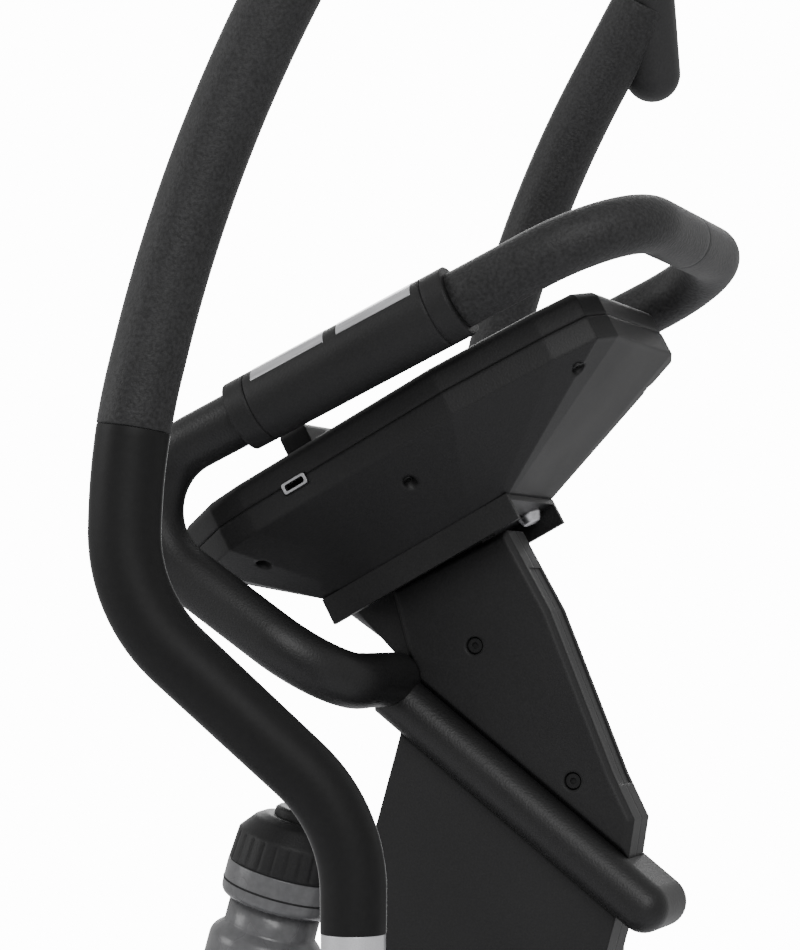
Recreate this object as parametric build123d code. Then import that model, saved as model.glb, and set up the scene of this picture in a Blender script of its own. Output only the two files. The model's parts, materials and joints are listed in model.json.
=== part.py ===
from build123d import *
import math
import os

# An elliptical trainer: rear crank, front mast, swinging handlebars and a console.
# Millimetres. +X is the front of the machine, +Y its left side, +Z up. The origin is on the
# floor under the middle of the machine.

# Overall
front_reach = 853.0             # from the origin to the front stabilizer tube, along X
rear_reach = 898.0
stabilizer_length = 590.0
stabilizer_radius = 30.0
end_cap_radius = 35.0
end_cap_length = 14.0
foot_height = 12.0
foot_radius = 22.0
foot_inset = 50.0               # from the end of the tube to the foot's axis
beam_width = 60.0
beam_height = 50.0
tube_wall = 3.0
foot_stem_radius = 7.0
wheel_radius = 25.0
wheel_width = 22.0
wheel_ahead = 55.0              # from the front stabilizer's axis to the wheels' axis
wheel_clearance = 5.0
wheel_spread = 180.0
wheel_cheek = 6.0
wheel_bolt_radius = 5.0

# Mast and the pivot of the swing arms
mast_base_x = 760.0
mast_knee_x = 667.0
mast_knee_z = 960.0
mast_top_lean = 16.0            # degrees forward from vertical, above the knee
mast_depth = 161.0
mast_width = 38.0
mast_base_depth = 150.0
mast_knee_round = 300.0
mast_front_round = 140.0
cover_wall = 2.5
column_depth = 100.0
column_width = 30.0
column_wall = 3.0
column_clearance = 0.5
base_plate_height = 10.0
base_plate_overhang = 12.0
boot_height = 42.0
boot_wall = 5.0
cover_gap = 0.3
pivot_x = 698.0
pivot_z = 790.0
axle_radius = 12.5
axle_tube_radius = 22.0
running_gap = 0.05
fit_gap = 0.3                   # between curved faces of pieces that move apart

# Swing arms, handles and pedal arms
arm_spread = 222.0              # from the middle plane to each swing arm below its bend
arm_radius = 17.5
arm_wall = 2.0
hub_radius = 30.0
hub_length = 50.0
hub_end_gap = 2.0               # between each hub and the faces beside it
pivot_cap_radius = 27.0
pivot_cap_length = 6.0
lower_pin_z = 330.0
lower_pin_radius = 10.0
lower_hub_radius = 23.0
lower_hub_length = 40.0
collar_z = 1081.0
handle_radius = 14.8
handle_spread = 275.0           # from the middle plane to each handle above the bend
handle_lean = 0.075             # inward, per millimetre of height
handle_lean_start = 1280.0
sleeve_low_radius = 17.8
sleeve_top_radius = 20.2
grip_radius = 20.3
grip_start_z = 1351.0
handle_foot_z = 1142.0
handle_route = [(586.0, 1257.0), (586.0, 1343.0), (627.0, 1520.0), (725.0, 1681.0)]
handle_bends = [90.0, 90.0, 360.0, 780.0]
top_grip_radius = 20.0
top_grip_length = 150.0
top_grip_tip = (725.0, 272.0, 1636.0)
top_grip_way = (0.05, -0.44, 0.897)
pedal_arm_spread = 172.0
pedal_arm_width = 38.0
pedal_arm_height = 50.0
pedal_hub_radius = 30.0
pedal_length = 370.0
pedal_width = 155.0
pedal_inner = 78.0
pedal_thickness = 18.0
pedal_corner = 28.0
pedal_rim = 8.0
pedal_recess = 5.0
pedal_mat_height = 7.0
pedal_mat_gap = 0.3
toe_wall_height = 34.0
pedal_ahead = 640.0             # from the crank pin to the pedal's middle

# Crank and drive
crank_x = -590.0
crank_z = 330.0
crank_radius = 200.0
crank_spread = 114.0            # inner face of each crank arm
crank_thickness = 22.0
crank_boss_radius = 32.0
crank_pin_radius = 14.0
crank_pin_gap = 1.0
drive_axle_radius = 12.5
pulley_radius = 160.0
pulley_width = 22.0
pulley_offset = 73.0
flywheel_x = -795.0
flywheel_z = 290.0
flywheel_radius = 112.0
flywheel_width = 24.0
small_pulley_radius = 24.0
flywheel_axle_radius = 8.5
belt_thickness = 4.0
belt_width = 16.0
belt_gap = 0.3
idler_radius = 18.0
idler_pin_radius = 6.0
housing_radius = 32.0
housing_half = 50.0
bearing_land = 10.0
side_plate_y = 30.0
side_plate_thickness = 5.0
brake_gap = 2.0                 # from the flywheel's rim to the magnets
magnet_height = 4.0
brake_band = 8.0
brake_half_width = 16.0
brake_angles = (65.0, 125.0)    # where the band starts and ends about the flywheel's axis
brake_pivot_angle = 131.0
brake_pin_radius = 6.0
shroud_half_width = 108.0
shroud_wall = 3.0
shroud_round = 14.0
shroud_gap = 0.6
shroud_hole_radius = 20.0
vent_slots = 6
vent_pitch = 18.0
vent_height = 6.0
vent_length = 70.0
inlet_size = (14.0, 30.0, 22.0)
inlet_hole_radius = 5.0

# Crown bar, neck and console
crown_back = (640.0, 1204.0)
crown_nose = (800.0, 1079.0)
crown_radius = 15.5
crown_flat = 37.0               # width of the flat top and bottom
stub_x = 642.0
stub_z = 1212.0
stub_radius = 16.5
stub_half = 70.0
gusset_half = 14.0
gusset_wall = 3.0
neck_wall = 2.5
neck_edge = 3.0                 # chamfer round each neck shell
neck_screw_radius = 5.5
neck_screws = [(694.0, 1232.6), (756.2, 1151.9)]
screw_recess = 3.0
strip_depth = 0.8               # of the groove down the front of the neck
strip_width = 22.0
strip_z = (1150.0, 1280.0)
console_origin = (675.0, 1298.0)
console_tilt = 28.0
console_half_width = 100.0
console_wall = 3.0
part_line = 60.0                # height of the joint between the two console shells
part_edge = 0.8                 # chamfer on both shells along that joint
skirt_line = 45.0
console_top = 77.0
bracket_plate = 4.0
bracket_drop = 17.0
bracket_half_width = 45.0
bracket_low_u = -80.0
bracket_high_u = 55.0
screen_middle_u = 58.0
screen_depth = 118.0
screen_width = 130.0
screen_thickness = 1.5
ledge_u = (-44.0, -26.0)
ledge_height = 16.0
ledge_half_width = 86.0
button_u = -72.0
button_radius = 10.0
button_travel = 1.5
button_pitch = 32.0
button_gap = 0.4
port_place = (-43.0, 58.0)      # along the console and above its base, across the joint
port_size = (17.0, 8.0, 7.0)

# Fixed handlebar
bar_spread = 122.0
bar_radius = 15.0
bar_sleeve_radius = 16.7
bar_wall = 2.0
bar_foam_radius = 17.0
bar_low_x = 642.0
bar_low_z = 1212.0
bar_back = (484.0, 1321.0)
bar_front = (821.0, 1477.0)
bar_low_bend = 45.0
bar_front_bend = 60.0
pulse_radius = 21.5
pulse_start_x = 586.0
pulse_end_x = 722.0
pulse_ring = 14.0
pulse_plate_margin = 20.0
pulse_plate_gap = 9.0
pulse_plate_width = 36.0
pulse_plate_depth = 1.0

# Bottle and its cage
bottle_foot = (514.8, 931.1)
bottle_radius = 36.5
bottle_neck_radius = 29.5
bottle_shoulder = 115.0         # heights along the bottle's axis
bottle_neck_low = 127.0
bottle_neck_high = 144.0
bottle_cap_low = 167.0
bottle_cap_high = 186.0
bottle_top = 200.0
bottle_wall = 1.6
spout_radius = 16.0
spout_height = 6.0
holder_height = 85.0
holder_wall = 3.0
holder_gap = 1.5

SIDES = {"right": -1.0, "left": 1.0}

os.makedirs("parts", exist_ok=True)


def save(name, shape):
    export_step(shape, f"parts/{name}.step")


def save_group(name, pieces):
    """Write several separate solids as one node."""
    save(name, Compound([solid for piece in pieces for solid in piece.solids()]))


def largest(shape):
    """The main solid of a cut shape, without the slivers that the cut leaves."""
    return shape.solids().sort_by(SortBy.VOLUME)[-1]


def along_y(x, y, z, radius, length):
    """A cylinder whose axis is parallel to Y, centred on (x, y, z)."""
    return Pos(x, y, z) * Rot(90, 0, 0) * Cylinder(radius, length)


def slab(points, low_y, high_y):
    """A plate with the outline `points` of (x, z), from low_y to high_y."""
    outline = Polyline(*[(x, low_y, z) for x, z in points], close=True)
    return extrude(make_face(outline), amount=high_y - low_y, dir=(0, 1, 0))


def rounded_slab(points, radii, low_y, high_y):
    """As slab, with an arc of its own radius at each corner."""
    outline = FilletPolyline(*[(x, low_y, z) for x, z in points], radius=radii, close=True)
    return extrude(make_face(outline), amount=high_y - low_y, dir=(0, 1, 0))


def tube_along(path, radius, bore):
    """A round tube along a path, or a round bar where the bore is 0."""
    start = Plane(origin=path @ 0, z_dir=path % 0)
    section = Circle(radius) - Circle(bore) if bore else Circle(radius)
    return sweep(start * section, path=path)


def line_at(start, end, z):
    """The x at height z on the line through two (x, z) points."""
    return start[0] + (end[0] - start[0]) * (z - start[1]) / (end[1] - start[1])


def line_at_x(start, end, x):
    """The z at x on the line through two (x, z) points."""
    return start[1] + (end[1] - start[1]) * (x - start[0]) / (end[0] - start[0])


def crossing(p, q, r, s):
    """The (x, z) point where line pq meets line rs."""
    ax, az = q[0] - p[0], q[1] - p[1]
    bx, bz = s[0] - r[0], s[1] - r[1]
    t = ((r[0] - p[0]) * bz - (r[1] - p[1]) * bx) / (ax * bz - az * bx)
    return (p[0] + t * ax, p[1] + t * az)


def moved(point, direction, distance):
    """A point shifted by a distance along a unit direction, both (x, z)."""
    return (point[0] + direction[0] * distance, point[1] + direction[1] * distance)


def inset(points, distance):
    """The closed outline of (x, z) points with each side moved inwards by a distance."""
    following = points[1:] + points[:1]
    turn = math.copysign(1.0, sum(p[0] * q[1] - q[0] * p[1] for p, q in zip(points, following)))
    lines = []
    for p, q in zip(points, following):
        way = unit(p, q)
        inwards = (-way[1] * turn, way[0] * turn)
        lines.append((moved(p, inwards, distance), moved(q, inwards, distance)))
    return [crossing(*before, *after) for before, after in zip(lines[-1:] + lines[:-1], lines)]


def unit(p, q):
    length = math.dist(p, q)
    return ((q[0] - p[0]) / length, (q[1] - p[1]) / length)


# ---------------------------------------------------------------- base frame
tube_z = foot_height + end_cap_radius
beam_low = tube_z - 5.0
beam_high = beam_low + beam_height
beam_z = (beam_low + beam_high) / 2
end_caps = []
feet = []
for name, x in {"front_stabilizer": front_reach, "rear_stabilizer": -rear_reach}.items():
    tube = along_y(x, 0, tube_z, stabilizer_radius, stabilizer_length)
    bore = along_y(x, 0, tube_z, stabilizer_radius - tube_wall, stabilizer_length)
    save(name, tube - bore)
    for hand in SIDES.values():
        cap_y = hand * (stabilizer_length + end_cap_length) / 2
        cap = along_y(x, cap_y, tube_z, end_cap_radius, end_cap_length)
        end_caps.append(fillet(cap.edges().sort_by(Axis.Y)[0 if hand < 0 else -1], 5.0))
        foot_y = hand * (stabilizer_length / 2 - foot_inset)
        pad = fillet((Pos(x, foot_y, foot_height / 2) * Cylinder(foot_radius, foot_height)).edges(), 3.0)
        stem = Pos(x, foot_y, tube_z / 2) * Cylinder(foot_stem_radius, tube_z - foot_height)
        feet.append(pad + (stem - tube))
save_group("end_caps", end_caps)
save_group("levelling_feet", feet)

beam_length = front_reach + rear_reach
beam_bore = Box(beam_length, beam_width - 2 * tube_wall, beam_height - 2 * tube_wall)
beam = Box(beam_length, beam_width, beam_height) - beam_bore
beam = Pos((front_reach - rear_reach) / 2, 0, beam_z) * beam
for x in (front_reach, -rear_reach):
    beam -= along_y(x, 0, tube_z, stabilizer_radius, beam_width + 2)
    beam -= Pos(x, 0, tube_z) * Box(stabilizer_radius, beam_width + 2, 3 * stabilizer_radius)
save("main_beam", largest(beam))

# Transport wheels ahead of the front stabilizer, each in a slotted block.
wheel_x = front_reach + wheel_ahead
wheel_z = wheel_radius + wheel_clearance
block_width = wheel_width + 2 * wheel_cheek
blocks = []
for side, hand in SIDES.items():
    y = hand * wheel_spread
    tread = fillet(along_y(wheel_x, y, wheel_z, wheel_radius, wheel_width).edges(), 4.0)
    tread -= along_y(wheel_x, y, wheel_z, wheel_bolt_radius + running_gap, wheel_width)
    save(f"transport_wheel_{side}", tread)
    block = along_y(wheel_x, y, wheel_z, wheel_radius * 0.6, block_width)
    block += Pos(front_reach + wheel_ahead / 2, y, wheel_z + 6.0) * Box(wheel_ahead, block_width, 30.0)
    block -= along_y(wheel_x, y, wheel_z, wheel_radius + 3.0, wheel_width + 2.0)
    block -= along_y(front_reach, 0, tube_z, stabilizer_radius, stabilizer_length)
    axle_bolt = along_y(wheel_x, y, wheel_z, wheel_bolt_radius, block_width + 6.0)
    blocks.append(block + axle_bolt)
save_group("wheel_brackets", blocks)

# ---------------------------------------------------------------- crown bar
crown_way = unit(crown_back, crown_nose)
crown_up = (-crown_way[1], crown_way[0])


def crown_line(height):
    """Two points of the line that runs along the crown bar at a height above its axis."""
    return moved(crown_back, crown_up, height), moved(crown_nose, crown_up, height)


crown_length = math.dist(crown_back, crown_nose)
crown_plane = Plane(
    origin=(crown_back[0], 0, crown_back[1]),
    x_dir=(0, 1, 0),
    z_dir=(crown_way[0], 0, crown_way[1]),
)
crown_section = SlotOverall(crown_flat + 2 * crown_radius, 2 * crown_radius)
crown = crown_plane * extrude(crown_section, crown_length)
crown += along_y(crown_nose[0], 0, crown_nose[1], crown_radius, crown_flat)
for hand in SIDES.values():
    crown += Pos(crown_nose[0], hand * crown_flat / 2, crown_nose[1]) * Sphere(crown_radius)
stub = along_y(stub_x, 0, stub_z, stub_radius, 2 * stub_half)

# ---------------------------------------------------------------- mast
lean = math.radians(mast_top_lean)
top_way = (math.sin(lean), math.cos(lean))
column_foot_z = beam_high + base_plate_height
low_way = unit((mast_base_x, column_foot_z), (mast_knee_x, mast_knee_z))
knee_sum = (low_way[0] + top_way[0], low_way[1] + top_way[1])
knee_way = unit((0, 0), (knee_sum[1], -knee_sum[0]))
knee_spread = 2.0 / math.hypot(*knee_sum)


def mast_outline(half_foot, half_knee, foot_z, roof_gap):
    """The corners of a bowed post of the mast: rear foot, knee and roof, then the front ones."""
    sides = []
    for hand in (-1, 1):
        foot = (line_at((mast_base_x, column_foot_z), (mast_knee_x, mast_knee_z), foot_z), foot_z)
        knee = moved((mast_knee_x, mast_knee_z), knee_way, hand * half_knee * knee_spread)
        roof = crossing(knee, moved(knee, top_way, 100.0), *crown_line(-crown_radius - roof_gap))
        sides.append([moved(foot, (1, 0), hand * half_foot), knee, roof])
    return sides[0] + sides[1][::-1]


def mast_slab(outline, rear_round, front_round, low_y, high_y):
    return rounded_slab(outline, [0, rear_round, 0, 0, front_round, 0], low_y, high_y)


cover_foot_z = column_foot_z + 2.0
cover_outline = mast_outline(mast_base_depth / 2, mast_depth / 2, cover_foot_z, cover_gap)
cover_inside = inset(cover_outline, cover_wall)
column_outline = mast_outline(column_depth / 2, column_depth / 2, column_foot_z, 0.0)
column_inside = inset(column_outline, column_wall)
half_mast = mast_width / 2
half_column = column_width / 2
rear_round = mast_knee_round
front_round = mast_front_round
mast_envelope = mast_slab(cover_outline, rear_round, front_round, -half_mast, half_mast)

axle_tube = along_y(pivot_x, 0, pivot_z, axle_tube_radius, 2 * (arm_spread - hub_length / 2 - hub_end_gap))
column = mast_slab(column_outline, rear_round, front_round, -half_column, half_column)
column -= mast_slab(column_inside, rear_round, front_round, column_wall - half_column, half_column - column_wall)
base_plate_depth = mast_base_depth + 2 * base_plate_overhang
base_plate = Box(base_plate_depth, beam_width, base_plate_height)
column += Pos(mast_base_x, 0, beam_high + base_plate_height / 2) * base_plate
column += axle_tube
column -= along_y(pivot_x, 0, pivot_z, axle_radius + running_gap, 2 * arm_spread)
save("mast_column", column)

column_space = mast_slab(
    mast_outline(column_depth / 2 + column_clearance, column_depth / 2 + column_clearance, cover_foot_z - 5, -5.0),
    rear_round, front_round, -half_column - column_clearance, half_column + column_clearance)
tube_space = along_y(pivot_x, 0, pivot_z, axle_tube_radius + cover_gap, 2 * arm_spread)
for side, hand in SIDES.items():
    outer = mast_slab(cover_outline, rear_round, front_round, *sorted((0, hand * half_mast)))
    inner_y = hand * (half_mast - cover_wall)
    inner = mast_slab(cover_inside, rear_round - cover_wall, front_round + cover_wall, *sorted((0, inner_y)))
    save(f"mast_cover_{side}", largest(outer - inner - column_space - tube_space))

boot = Box(base_plate_depth + 2 * boot_wall, beam_width + 4.0, boot_height)
boot = Pos(mast_base_x, 0, beam_high + boot_height / 2) * boot
boot = fillet(boot.edges().filter_by(Axis.Z), 12.0)
boot = chamfer(boot.edges().group_by(Axis.Z)[-1], 6.0)
boot -= Pos(mast_base_x, 0, beam_high + base_plate_height / 2) * Box(
    base_plate_depth + 2 * cover_gap, beam_width + 2 * cover_gap, base_plate_height + 2 * cover_gap)
boot_hole = mast_outline(mast_base_depth / 2 + cover_gap, mast_depth / 2 + cover_gap, beam_high, cover_gap)
boot -= mast_slab(boot_hole, rear_round, front_round, -half_mast - cover_gap, half_mast + cover_gap)
save("mast_boot", largest(boot))

axle_half = arm_spread + hub_length / 2 + 1.0
save("pivot_axle", along_y(pivot_x, 0, pivot_z, axle_radius, 2 * axle_half))
pivot_caps = []
for hand in SIDES.values():
    cap = along_y(pivot_x, hand * (axle_half + pivot_cap_length / 2), pivot_z, pivot_cap_radius, pivot_cap_length)
    pivot_caps.append(fillet(cap.edges().sort_by(Axis.Y)[0 if hand < 0 else -1], 3.0))
save_group("pivot_caps", pivot_caps)

# ---------------------------------------------------------------- console frame of reference
tilt = math.radians(console_tilt)
console = Plane(
    origin=(console_origin[0], 0, console_origin[1]),
    x_dir=(math.cos(tilt), 0, math.sin(tilt)),
    z_dir=(-math.sin(tilt), 0, math.cos(tilt)),
)


def on_console(u, n):
    """The (x, z) point at u along the console and n above its base."""
    return (console_origin[0] + u * math.cos(tilt) - n * math.sin(tilt),
            console_origin[1] + u * math.sin(tilt) + n * math.cos(tilt))


# ---------------------------------------------------------------- neck
gusset_outline = [
    (stub_x, stub_z + 0.85 * stub_radius),
    on_console(bracket_low_u + 4.0, -bracket_plate),
    on_console(20.0, -bracket_plate),
    crossing((760, 1000), (760, 1200), *crown_line(crown_radius)),
    crossing((650, 1000), (650, 1300), *crown_line(crown_radius)),
]
gusset = slab(gusset_outline, -gusset_half, gusset_half)
gusset -= slab(inset(gusset_outline, gusset_wall), gusset_wall - gusset_half, gusset_half - gusset_wall)
save("crown_bar", crown + stub + gusset)

crown_top = crown_line(crown_radius)
neck_outline = [
    (639.4, 1266.6),
    (649.3, 1231.0),
    (653.9, crossing((653.9, 1000), (653.9, 1300), *crown_top)[1]),
    crossing((789.9, 1000), (789.9, 1300), *crown_top),
    (793.7, 1129.8),
    (780.8, 1156.1),
    (741.1, 1254.2),
    (713.8, 1302.7),
]
neck_inside = inset(neck_outline, neck_wall)
neck_half = crown_flat / 2
strip = slab(inset(neck_outline, -3.0), -strip_width / 2, strip_width / 2)
strip -= slab(inset(neck_outline, strip_depth), -strip_width, strip_width)
strip &= Pos(neck_outline[-1][0] + 50.0, 0, sum(strip_z) / 2) * Box(100.0, strip_width, strip_z[1] - strip_z[0])
gusset_space = slab(inset(gusset_outline, -cover_gap), -gusset_half - cover_gap, gusset_half + cover_gap)
stub_space = along_y(stub_x, 0, stub_z, stub_radius + cover_gap, 2 * stub_half)
screws = []
for side, hand in SIDES.items():
    outer = slab(neck_outline, *sorted((0, hand * neck_half)))
    outer_edges = outer.edges().group_by(Axis.Y)[0 if hand < 0 else -1]
    shell = chamfer(outer_edges, neck_edge)
    shell -= slab(neck_inside, *sorted((0, hand * (neck_half - neck_wall))))
    for x, z in neck_screws:
        depth = neck_half - gusset_half - 2 * cover_gap
        shell += along_y(x, hand * (neck_half - depth / 2), z, neck_screw_radius + 2.5, depth)
        shell -= along_y(x, hand * (neck_half - screw_recess / 2), z, neck_screw_radius, screw_recess)
        head = along_y(x, hand * (neck_half - screw_recess + 0.8), z, neck_screw_radius - 1.0, 1.6)
        socket = along_y(x, hand * (neck_half - screw_recess + 1.0), z, 2.0, 1.6)
        screws.append(head - socket)
    save(f"neck_cover_{side}", largest(shell - gusset_space - stub_space - strip))

# ---------------------------------------------------------------- console
# Half outlines of (u, y), from the front of the console to its rear.
part_half = [(163, 58), (156, 79), (129, 88), (63, 0), (-79, -2), (-101, -6), (-129, -25), (-135, -40)]
part_half = [(u, y if y > 50 else console_half_width + y) for u, y in part_half]
base_half = [(57, 36), (56, 42), (50, 44), (28, 45), (-40, 45.2), (-66, 44), (-79, 42), (-80, 36)]


def both_sides(half):
    return half + [(u, -y) for u, y in reversed(half)]


def console_face(points, n):
    return Pos(0, 0, n) * make_face(Polyline(*points, close=True))


part_outline = both_sides(part_half)
base_outline = both_sides(base_half)
part_inside = inset(part_outline, console_wall)
base_inside = inset(base_outline, console_wall)
back_outer = loft([console_face(base_outline, 0), console_face(part_outline, skirt_line)], ruled=True)
back_outer += extrude(console_face(part_outline, skirt_line), part_line - skirt_line)
back_outer = chamfer(back_outer.edges().group_by(Axis.Z)[-1], part_edge)
back_inner = loft([console_face(base_inside, console_wall), console_face(part_inside, skirt_line)], ruled=True)
back_inner += extrude(console_face(part_inside, skirt_line), part_line - skirt_line)
back = back_outer - back_inner
# Screw pillars in the sloping back: (u, y, height of the slope there).
console_screws = [(-92.0, 76.0, 36.0), (15.0, 78.0, 28.0), (136.0, 72.0, 36.0)]
for u, y, n in console_screws:
    for hand in SIDES.values():
        pillar = Pos(u, hand * y, part_line / 2) * Cylinder(7.0, part_line)
        back += pillar & back_outer
        back -= Pos(u, hand * y, (n + 4.0) / 2) * Cylinder(4.2, n + 4.0)
        screws.append(console * Pos(u, hand * y, n + 3.0) * (Cylinder(4.0, 2.0) - Pos(0, 0, -0.5) * Cylinder(1.6, 1.0)))
port = Pos(port_place[0], -console_half_width + 1.0, port_place[1]) * Box(*port_size)
back -= port
save("console_back", console * largest(back))

front = extrude(console_face(part_outline, part_line), console_top - part_line)
front = chamfer(front.edges().group_by(Axis.Z)[0], part_edge)
front = fillet(front.edges().group_by(Axis.Z)[-1], 6.0) - port
front -= extrude(console_face(part_inside, part_line), console_top - part_line - console_wall)
front -= Pos(screen_middle_u, 0, console_top) * Box(screen_depth, screen_width, 2 * screen_thickness)
buttons = {"button_down": -button_pitch, "button_start": 0.0, "button_up": button_pitch}
button_low = console_top - console_wall
for name, y in buttons.items():
    front -= Pos(button_u, y, console_top) * Cylinder(button_radius + button_gap, 4 * console_wall)
    cap = Pos(0, 0, button_low) * Cylinder(button_radius, 2 * (console_top + 2.5 - button_low))
    cap = fillet(cap.edges().sort_by(Axis.Z)[-1], 1.2) - Pos(0, 0, button_low - 21.0) * Box(30, 30, 40)
    flange = Pos(0, 0, button_low - 1.3) * Cylinder(button_radius + 1.5, 2.0)
    save(name, console * Pos(button_u, y, 0) * (cap + flange))
ledge_middle = sum(ledge_u) / 2
ledge_depth = ledge_u[1] - ledge_u[0]
ledge = Pos(ledge_middle, 0, console_top + ledge_height / 2) * Box(ledge_depth, 2 * ledge_half_width, ledge_height)
ledge = fillet(ledge.edges().group_by(Axis.Z)[-1], 5.0)
save("console_front", console * largest(front))
save("tablet_ledge", console * ledge)
lens = Pos(screen_middle_u, 0, console_top - screen_thickness / 2)
save("console_screen", console * lens * Box(screen_depth - 1.0, screen_width - 1.0, screen_thickness))

bracket_length = bracket_high_u - bracket_low_u
bracket_middle = (bracket_high_u + bracket_low_u) / 2
bracket = Pos(bracket_middle, 0, -bracket_plate / 2) * Box(bracket_length, 2 * bracket_half_width, bracket_plate)
for hand in SIDES.values():
    flange_y = hand * (bracket_half_width - bracket_plate / 2)
    bracket += Pos(bracket_middle, flange_y, -bracket_drop / 2) * Box(bracket_length, bracket_plate, bracket_drop)
    for u in (bracket_low_u + 14.0, bracket_high_u - 14.0):
        screws.append(console * Pos(u, hand * 28.0, -bracket_plate) * Sphere(6.0) - console * Box(400, 200, 2 * bracket_plate))
save("console_bracket", console * bracket)
save_group("screws", screws)

# ---------------------------------------------------------------- fixed handlebar
bar_way = unit(bar_back, bar_front)
pulse_start_z = line_at_x(bar_back, bar_front, pulse_start_x)
pulse_end_z = line_at_x(bar_back, bar_front, pulse_end_x)
pulse_start = (pulse_start_x, pulse_start_z)
pulse_end = (pulse_end_x, pulse_end_z)
bar_parts = []
for side, hand in SIDES.items():
    y = hand * bar_spread
    low = FilletPolyline(
        (bar_low_x, hand * stub_half, bar_low_z), (bar_low_x, y, bar_low_z),
        (bar_back[0], y, bar_back[1]), (pulse_start_x, y, pulse_start_z),
        radius=[bar_low_bend, bar_low_bend])
    bar_parts.append(tube_along(low, bar_sleeve_radius, bar_radius - bar_wall))
top = FilletPolyline(
    (pulse_start_x, -bar_spread, pulse_start_z), (bar_front[0], -bar_spread, bar_front[1]),
    (bar_front[0], bar_spread, bar_front[1]), (pulse_start_x, bar_spread, pulse_start_z),
    radius=[bar_front_bend, bar_front_bend])
bar_parts.append(tube_along(top, bar_radius, bar_radius - bar_wall))
save("fixed_handlebar", bar_parts[0] + bar_parts[1] + bar_parts[2])

pulse_length = math.dist(pulse_start, pulse_end)
plate_length = (pulse_length - 2 * pulse_plate_margin - pulse_plate_gap) / 2
plates = []
for side, hand in SIDES.items():
    y = hand * bar_spread
    foam_path = FilletPolyline(
        (pulse_end_x, y, pulse_end_z), (bar_front[0], y, bar_front[1]), (bar_front[0], 0, bar_front[1]),
        radius=[bar_front_bend])
    save(f"bar_foam_{side}", tube_along(foam_path, bar_foam_radius, bar_radius))
    along = Plane(origin=(pulse_start_x, y, pulse_start_z), x_dir=(0, 1, 0), z_dir=(bar_way[0], 0, bar_way[1]))
    grip = Pos(0, 0, pulse_length / 2) * (Cylinder(pulse_radius, pulse_length) - Cylinder(bar_radius, pulse_length))
    for height in (pulse_ring, pulse_length - pulse_ring):
        grip -= Pos(0, 0, height) * (Cylinder(pulse_radius + 1, 1.0) - Cylinder(pulse_radius - 0.8, 1.0))
    band = Pos(0, 0, pulse_length / 2) * (
        Cylinder(pulse_radius + 0.2, pulse_length) - Cylinder(pulse_radius - pulse_plate_depth, pulse_length))
    for low in (pulse_plate_margin, pulse_plate_margin + plate_length + pulse_plate_gap):
        window = Pos(0, pulse_radius, low + plate_length / 2) * Box(pulse_plate_width, pulse_radius, plate_length)
        plates.append(along * (band & window))
        grip -= band & window
    save(f"pulse_grip_{side}", along * grip)
save_group("pulse_plates", plates)

# ---------------------------------------------------------------- bottle and holder
bottle_plane = Plane(
    origin=(bottle_foot[0], 0, bottle_foot[1]),
    x_dir=(math.cos(lean), 0, -math.sin(lean)),
    z_dir=(math.sin(lean), 0, math.cos(lean)),
)


def turned(*outline):
    """A solid of revolution about the bottle's axis, from (radius, height) points."""
    face = make_face(Plane.XZ * Polyline(*outline, close=True))
    return revolve(face, Axis.Z)


thin = bottle_wall
neck_bore = bottle_neck_radius - thin
body = turned(
    (0, 0), (bottle_radius - 5, 0), (bottle_radius, 5), (bottle_radius, bottle_shoulder),
    (bottle_neck_radius, bottle_neck_low), (bottle_neck_radius, bottle_neck_high),
    (bottle_radius - 5, bottle_neck_high), (bottle_radius, bottle_neck_high + 5), (bottle_radius, bottle_cap_low),
    (neck_bore, bottle_cap_low), (neck_bore, bottle_neck_low), (bottle_radius - thin, bottle_shoulder - 1),
    (bottle_radius - thin, 6), (bottle_radius - 6, thin), (0, thin))
save("bottle", bottle_plane * body)
spout_bore = spout_radius + running_gap
cap_flat = bottle_radius - 3.5
bottle_cap = turned(
    (spout_bore, bottle_cap_low), (bottle_radius - 0.5, bottle_cap_low), (cap_flat, bottle_cap_high),
    (cap_flat - 7, bottle_cap_high + 8), (spout_radius + 5, bottle_top), (spout_bore, bottle_top))
bottle_cap -= turned(
    (spout_bore - 1, bottle_cap_low - 1), (bottle_radius - 5, bottle_cap_low - 1),
    (cap_flat - 5, bottle_cap_high), (spout_radius + 6, bottle_cap_high + 4), (spout_bore - 1, bottle_cap_high + 4))
save("bottle_cap", bottle_plane * bottle_cap)
spout_low = bottle_cap_high - 2
spout = turned(
    (0, spout_low), (spout_radius, spout_low), (spout_radius, bottle_top + spout_height - 2),
    (spout_radius - 2, bottle_top + spout_height), (0, bottle_top + spout_height))
save("bottle_spout", bottle_plane * spout)

holder_bore = bottle_radius + holder_gap
holder_radius = holder_bore + holder_wall
holder = turned((0, -holder_wall - cover_gap), (holder_radius, -holder_wall - cover_gap), (holder_radius, holder_height),
                (holder_bore, holder_height), (holder_bore, -cover_gap), (0, -cover_gap))
for turn in (0, 120, 240):
    window = Pos(0, 0, holder_height / 2) * Box(3 * holder_radius, 24.0, holder_height - 34.0)
    holder -= Rot(0, 0, turn + 90) * (window & Pos(-holder_radius, 0, holder_height / 2) * Box(
        2 * holder_radius, 40.0, holder_height))
holder = bottle_plane * holder
holder_arm = bottle_plane * Pos(holder_radius + 25.0, 0, holder_height * 0.62) * Box(54.0, 26.0, 44.0)
holder_core = bottle_plane * Pos(0, 0, holder_height / 2) * Cylinder(holder_bore + 1.0, 2 * holder_height)
save("bottle_holder", largest(holder + (holder_arm - holder_core - mast_envelope)))

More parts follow.
